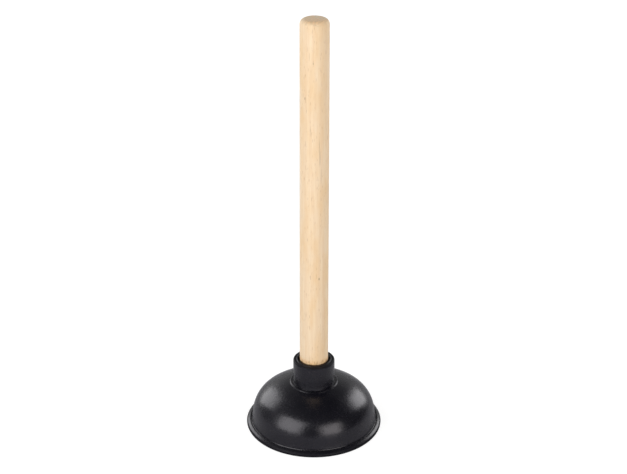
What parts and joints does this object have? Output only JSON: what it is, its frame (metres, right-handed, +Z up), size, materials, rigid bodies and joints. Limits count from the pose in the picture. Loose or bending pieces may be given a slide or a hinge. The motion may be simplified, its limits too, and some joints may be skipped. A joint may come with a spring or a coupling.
{
  "type": "toilet plunger",
  "caption": "Force-cup plunger: a black rubber bell cup with a beaded sealing lip and a tubular neck, on a plain pale wooden dowel handle.",
  "frame": {"origin": "centre of the sealing lip's underside, on the surface the plunger stands on", "axes": "+Z up along the handle; the part is round about Z, so X and Y are free"},
  "size_m": [0.12, 0.12, 0.3757],
  "materials": {
    "cup_rubber": "satin black moulded rubber",
    "handle_wood": "plain sanded pale wood, uncoated"
  },
  "bodies": {
    "lip": {"cup_lip": "cup_rubber"},
    "skirt": {"cup_skirt": "cup_rubber"},
    "dome": {"cup_dome": "cup_rubber"},
    "neck": {"cup_neck": "cup_rubber"},
    "handle": {"handle": "handle_wood"}
  },
  "joints": [
    {"name": "lean_sideways", "type": "hinge", "parent": "lip", "child": "skirt", "pos_m": [0, 0, 0.0102], "axis": [0, 1, 0], "range_deg": [-6, 6], "stiffness_Nm_per_rad": 3, "deforming": ["cup_skirt"]},
    {"name": "lean_fore_aft", "type": "hinge", "parent": "skirt", "child": "dome", "pos_m": [0, 0, 0.0197], "axis": [1, 0, 0], "range_deg": [-6, 6], "stiffness_Nm_per_rad": 3, "deforming": ["cup_dome"]},
    {"name": "plunge", "type": "slide", "parent": "dome", "child": "neck", "axis": [0, 0, -1], "range_m": [0, 0.022], "stiffness_N_per_m": 2000, "deforming": ["cup_dome"]},
    {"name": "handle_pull_out", "type": "slide", "parent": "neck", "child": "handle", "axis": [0, 0, 1], "range_m": [0, 0.031]}
  ]
}
